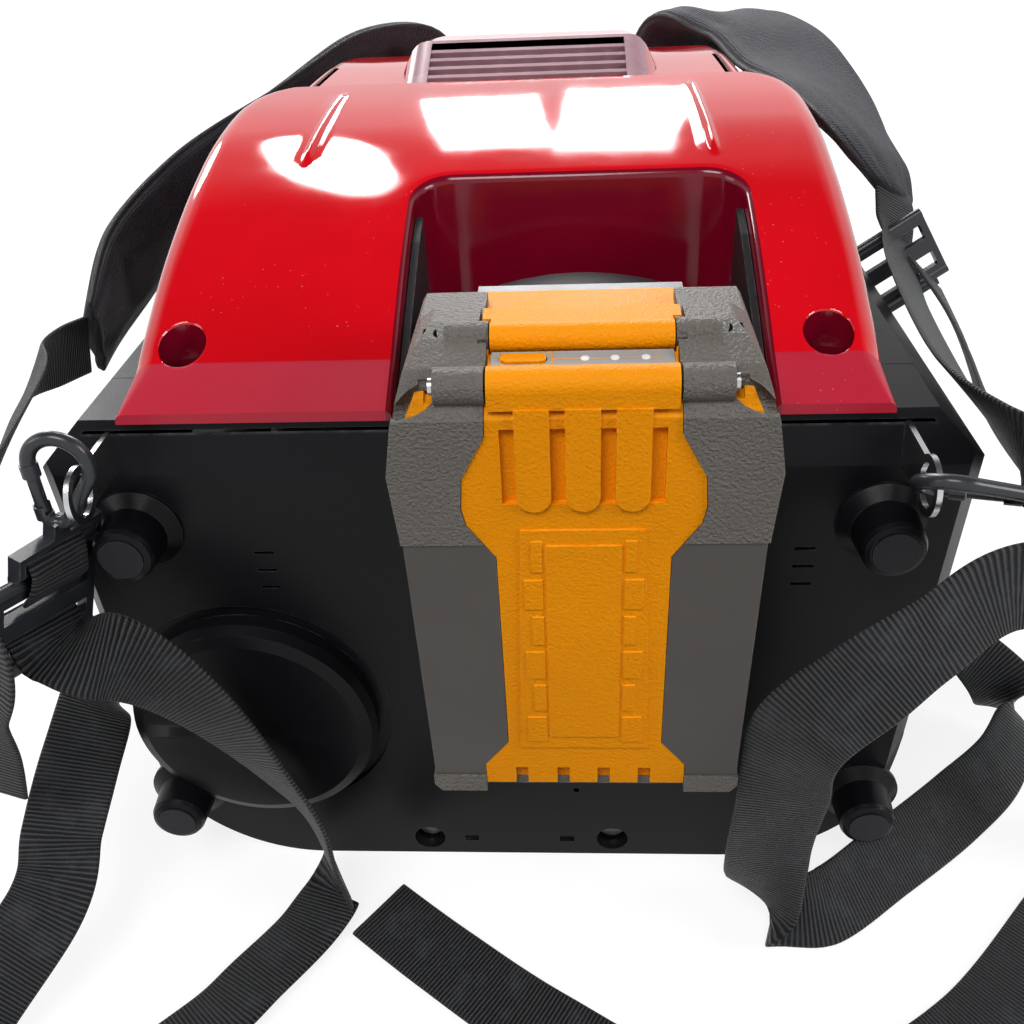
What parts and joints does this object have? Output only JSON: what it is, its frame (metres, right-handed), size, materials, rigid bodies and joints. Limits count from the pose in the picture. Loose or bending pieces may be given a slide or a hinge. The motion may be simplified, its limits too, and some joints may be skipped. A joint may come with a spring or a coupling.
{
  "type": "backpack leaf blower",
  "caption": "Battery backpack leaf blower lying on its back, with a red rear cover, a slide-on battery, shoulder pads and loose harness webbing",
  "frame": {"origin": "on the floor under the front edge of the base cover, midway across the pack", "axes": "+X towards the wearer's right side, +Y up the pack from its base, +Z away from the wearer's back; the pack lies on its back on Z = 0"},
  "size_m": [0.4026, 0.5514, 0.236],
  "materials": {
    "black_shell": "satin moulded black",
    "red_gloss": "deep clear gloss",
    "yellow_shell": "fine grain",
    "grey_bumper": "coarse grain over-moulding",
    "black_rubber": "matt",
    "hook_plastic": "semi-gloss acetal",
    "webbing": "ribbed polyester webbing",
    "pad_cloth": "woven cloth over foam",
    "steel": "zinc plated",
    "bare_aluminium": "extruded",
    "contact_brass": "stamped",
    "board_green": "coated board",
    "cell_sleeve": "shrink sleeve"
  },
  "bodies": {
    "pack": {"base_cover": "black_shell", "main_housing": "black_shell", "rear_cover": "red_gloss", "intake_grille": "red_gloss", "battery_tray": "black_shell", "foot_pads": "black_rubber", "base_screws": "steel", "cover_screws": "steel", "battery_dock": "black_shell", "dock_contacts": "contact_brass", "fan_duct": "black_shell", "inlet_ring": "black_shell", "motor_carrier": "black_shell", "motor_can": "steel", "motor_bearings": "steel", "tail_cone": "black_shell", "elbow_seal": "black_rubber", "elbow_pivot": "steel", "motor_controller": "board_green", "heat_sink": "bare_aluminium", "back_panel": "black_shell", "back_pad": "pad_cloth", "grab_handle": "black_shell", "left_lug": "steel", "right_lug": "steel", "left_hook": "hook_plastic", "right_hook": "hook_plastic", "left_buckle": "hook_plastic", "right_buckle": "hook_plastic", "strap_anchors": "hook_plastic", "left_shoulder_pad": "pad_cloth", "right_shoulder_pad": "pad_cloth", "left_pad_webbing": "webbing", "left_hook_webbing": "webbing", "left_lower_strap": "webbing", "right_hook_webbing": "webbing", "right_lower_strap": "webbing", "right_strap_tail": "webbing"},
    "battery": {"battery_case": "yellow_shell", "battery_bumpers": "grey_bumper", "battery_side_panels": "grey_bumper", "battery_deck": "black_shell", "battery_cells": "cell_sleeve", "battery_screws": "steel", "charge_panel": "grey_bumper"},
    "charge_button": {"charge_button": "yellow_shell"},
    "release_lever": {"release_lever": "yellow_shell"},
    "latch_tab": {"latch_tab": "black_shell"},
    "fan_rotor": {"motor_shaft": "steel", "impeller": "black_shell"},
    "outlet": {"outlet_elbow": "black_shell"},
    "left_gate": {"left_hook_gate": "hook_plastic"},
    "right_gate": {"right_hook_gate": "hook_plastic"}
  },
  "joints": [
    {"name": "battery_slide", "type": "slide", "parent": "pack", "child": "battery", "axis": [0, 0, 1], "range_m": [0, 0.115]},
    {"name": "lever_press", "type": "slide", "parent": "battery", "child": "release_lever", "axis": [0, 0, -1], "range_m": [0, 0.0035], "stiffness_N_per_m": 900, "springref_m": -0.001},
    {"name": "latch_draw", "type": "slide", "parent": "battery", "child": "latch_tab", "axis": [0, -1, 0], "range_m": [0, 0.004]},
    {"name": "button_press", "type": "slide", "parent": "battery", "child": "charge_button", "axis": [0, 0.1564, -0.9877], "range_m": [0, 0.0008], "stiffness_N_per_m": 600, "springref_m": -0.0003},
    {"name": "fan_spin", "type": "hinge", "parent": "pack", "child": "fan_rotor", "pos_m": [-0.084, 0.29, 0.07], "axis": [0, 1, 0], "continuous": true},
    {"name": "outlet_swing", "type": "hinge", "parent": "pack", "child": "outlet", "pos_m": [-0.084, 0.13, 0.07], "axis": [0, 1, 0], "range_deg": [-15, 15]},
    {"name": "left_gate_open", "type": "hinge", "parent": "pack", "child": "left_gate", "pos_m": [-0.1204, -0.02, 0.16371], "axis": [0, 1, 0], "range_deg": [0, 24], "stiffness_Nm_per_rad": 0.02, "springref_deg": -2.86},
    {"name": "right_gate_open", "type": "hinge", "parent": "pack", "child": "right_gate", "pos_m": [0.12724, -0.02466, 0.16729], "axis": [0.1501, 0.5889, 0.7942], "range_deg": [0, 24], "stiffness_Nm_per_rad": 0.02, "springref_deg": -2.86}
  ],
  "couplings": [
    {"joint": "latch_draw", "follows": "lever_press", "ratio": 1.1}
  ]
}
